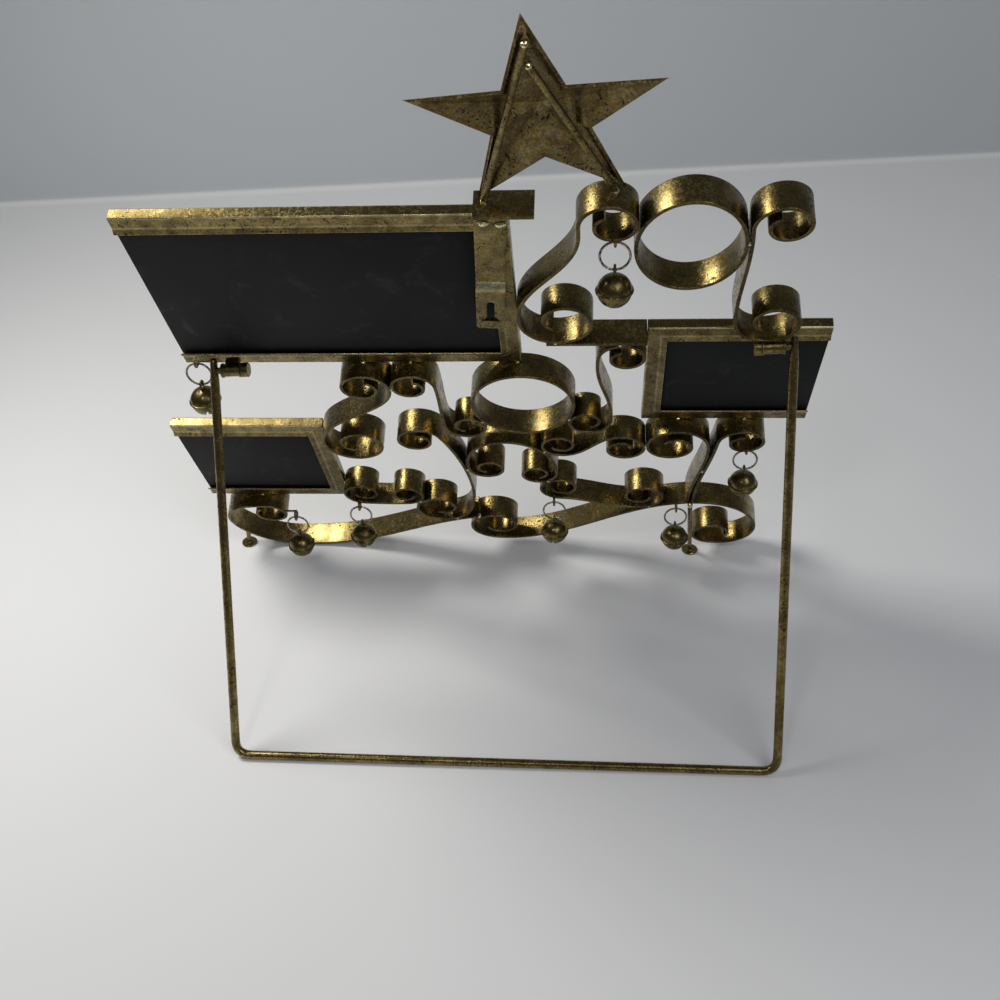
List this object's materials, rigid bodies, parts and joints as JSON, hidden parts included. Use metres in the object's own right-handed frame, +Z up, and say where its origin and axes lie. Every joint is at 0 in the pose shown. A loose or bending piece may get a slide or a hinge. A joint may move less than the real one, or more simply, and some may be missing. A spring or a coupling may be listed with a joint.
{
  "type": "tabletop photo frame",
  "caption": "Leaning tabletop photo frame: slide-in picture channels in scrolled strip metal with a faceted star, hanging jingle bells and a folding wire stand.",
  "frame": {"origin": "on the floor, in the middle of the footprint", "axes": "+Z up; -Y the way the pictures face; +Y the side of the stand; +X to the right seen from the front"},
  "size_m": [0.3152, 0.176, 0.3594],
  "materials": {
    "gold_leaf_iron": "antique mottled gold leaf over dark bronze paint",
    "bell_brass": "aged",
    "dark_steel": "dark, plain",
    "backing_board": "matt black paper over board",
    "clear_glass": "clear"
  },
  "bodies": {
    "rack": {"frame_large": "gold_leaf_iron", "frame_upper": "gold_leaf_iron", "frame_lower": "gold_leaf_iron", "oval_upper": "gold_leaf_iron", "oval_lower": "gold_leaf_iron", "tie_bar": "gold_leaf_iron", "scroll_upper_left": "gold_leaf_iron", "scroll_upper_right": "gold_leaf_iron", "scroll_middle_left": "gold_leaf_iron", "scroll_middle_centre": "gold_leaf_iron", "scroll_middle_right": "gold_leaf_iron", "scroll_middle_low": "gold_leaf_iron", "scroll_stem_inner": "gold_leaf_iron", "scroll_stem_outer": "gold_leaf_iron", "scroll_lower_wave": "gold_leaf_iron", "scroll_lower_arch": "gold_leaf_iron", "scroll_lower_tall": "gold_leaf_iron", "scroll_lower_left": "gold_leaf_iron", "base_strip_left": "gold_leaf_iron", "base_strip_right": "gold_leaf_iron", "cap_plate": "gold_leaf_iron", "hanger_strap": "gold_leaf_iron", "star": "gold_leaf_iron", "star_rod_left": "gold_leaf_iron", "star_rod_right": "gold_leaf_iron", "stand_barrel_left": "gold_leaf_iron", "stand_barrel_right": "gold_leaf_iron", "foot_left": "gold_leaf_iron", "foot_right": "gold_leaf_iron"},
    "stand": {"stand_wire": "gold_leaf_iron", "stand_cap_left": "gold_leaf_iron", "stand_cap_right": "gold_leaf_iron"},
    "glass_large": {"glass_large": "clear_glass"},
    "panel_large": {"panel_large": "backing_board"},
    "glass_upper": {"glass_upper": "clear_glass"},
    "panel_upper": {"panel_upper": "backing_board"},
    "glass_lower": {"glass_lower": "clear_glass"},
    "panel_lower": {"panel_lower": "backing_board"},
    "ring_1": {"bell_ring_1": "dark_steel"},
    "bell_1": {"bell_shell_1": "bell_brass", "bell_pellet_1": "dark_steel"},
    "ring_2": {"bell_ring_2": "dark_steel"},
    "bell_2": {"bell_shell_2": "bell_brass", "bell_pellet_2": "dark_steel"},
    "ring_3": {"bell_ring_3": "dark_steel"},
    "bell_3": {"bell_shell_3": "bell_brass", "bell_pellet_3": "dark_steel"},
    "ring_4": {"bell_ring_4": "dark_steel"},
    "bell_4": {"bell_shell_4": "bell_brass", "bell_pellet_4": "dark_steel"},
    "ring_5": {"bell_ring_5": "dark_steel"},
    "bell_5": {"bell_shell_5": "bell_brass", "bell_pellet_5": "dark_steel"},
    "ring_6": {"bell_ring_6": "dark_steel"},
    "bell_6": {"bell_shell_6": "bell_brass", "bell_pellet_6": "dark_steel"},
    "ring_7": {"bell_ring_7": "dark_steel"},
    "bell_7": {"bell_shell_7": "bell_brass", "bell_pellet_7": "dark_steel"}
  },
  "joints": [
    {"name": "stand_fold", "type": "hinge", "parent": "rack", "child": "stand", "pos_m": [-0.0082, 0.01036, 0.18827], "axis": [-0.9974, 0.0302, 0.0654], "range_deg": [0, 38]},
    {"name": "glass_large_slide", "type": "slide", "parent": "rack", "child": "glass_large", "axis": [1, 0, 0], "range_m": [0, 0.12]},
    {"name": "panel_large_slide", "type": "slide", "parent": "rack", "child": "panel_large", "axis": [1, 0, 0], "range_m": [0, 0.12]},
    {"name": "glass_upper_slide", "type": "slide", "parent": "rack", "child": "glass_upper", "axis": [-1, 0, 0], "range_m": [0, 0.06]},
    {"name": "panel_upper_slide", "type": "slide", "parent": "rack", "child": "panel_upper", "axis": [-1, 0, 0], "range_m": [0, 0.06]},
    {"name": "glass_lower_slide", "type": "slide", "parent": "rack", "child": "glass_lower", "axis": [1, 0, 0], "range_m": [0, 0.06]},
    {"name": "panel_lower_slide", "type": "slide", "parent": "rack", "child": "panel_lower", "axis": [1, 0, 0], "range_m": [0, 0.06]},
    {"name": "ring_1_swing", "type": "hinge", "parent": "rack", "child": "ring_1", "pos_m": [-0.06424, 0.04134, 0.26118], "axis": [1, 0, 0], "range_deg": [-30, 45]},
    {"name": "bell_1_swing", "type": "hinge", "parent": "ring_1", "child": "bell_1", "pos_m": [-0.06424, 0.04134, 0.24948], "axis": [1, 0, 0], "range_deg": [-25, 30]},
    {"name": "ring_2_swing", "type": "hinge", "parent": "rack", "child": "ring_2", "pos_m": [0.1272, -0.00586, 0.17607], "axis": [1, 0, 0], "range_deg": [-30, 45]},
    {"name": "bell_2_swing", "type": "hinge", "parent": "ring_2", "child": "bell_2", "pos_m": [0.1272, -0.00586, 0.16437], "axis": [1, 0, 0], "range_deg": [-25, 30]},
    {"name": "ring_3_swing", "type": "hinge", "parent": "rack", "child": "ring_3", "pos_m": [0.11067, -0.05598, 0.03964], "axis": [1, 0, 0], "range_deg": [0, 20]},
    {"name": "bell_3_swing", "type": "hinge", "parent": "ring_3", "child": "bell_3", "pos_m": [0.11067, -0.05598, 0.02795], "axis": [1, 0, 0], "range_deg": [-10, 20]},
    {"name": "ring_4_swing", "type": "hinge", "parent": "rack", "child": "ring_4", "pos_m": [0.07208, -0.05021, 0.05213], "axis": [1, 0, 0], "range_deg": [0, 45]},
    {"name": "bell_4_swing", "type": "hinge", "parent": "ring_4", "child": "bell_4", "pos_m": [0.07208, -0.05021, 0.04043], "axis": [1, 0, 0], "range_deg": [-10, 30]},
    {"name": "ring_5_swing", "type": "hinge", "parent": "rack", "child": "ring_5", "pos_m": [-0.03535, -0.04708, 0.05887], "axis": [1, 0, 0], "range_deg": [0, 45]},
    {"name": "bell_5_swing", "type": "hinge", "parent": "ring_5", "child": "bell_5", "pos_m": [-0.03535, -0.04708, 0.04717], "axis": [1, 0, 0], "range_deg": [-10, 30]},
    {"name": "ring_6_swing", "type": "hinge", "parent": "rack", "child": "ring_6", "pos_m": [-0.10111, -0.05016, 0.05223], "axis": [1, 0, 0], "range_deg": [0, 45]},
    {"name": "bell_6_swing", "type": "hinge", "parent": "ring_6", "child": "bell_6", "pos_m": [-0.10111, -0.05016, 0.04053], "axis": [1, 0, 0], "range_deg": [-5, 30]},
    {"name": "ring_7_swing", "type": "hinge", "parent": "rack", "child": "ring_7", "pos_m": [-0.1322, -0.02977, 0.10749], "axis": [1, 0, 0], "range_deg": [-30, 45]},
    {"name": "bell_7_swing", "type": "hinge", "parent": "ring_7", "child": "bell_7", "pos_m": [-0.1322, -0.02977, 0.09579], "axis": [1, 0, 0], "range_deg": [-25, 30]}
  ]
}
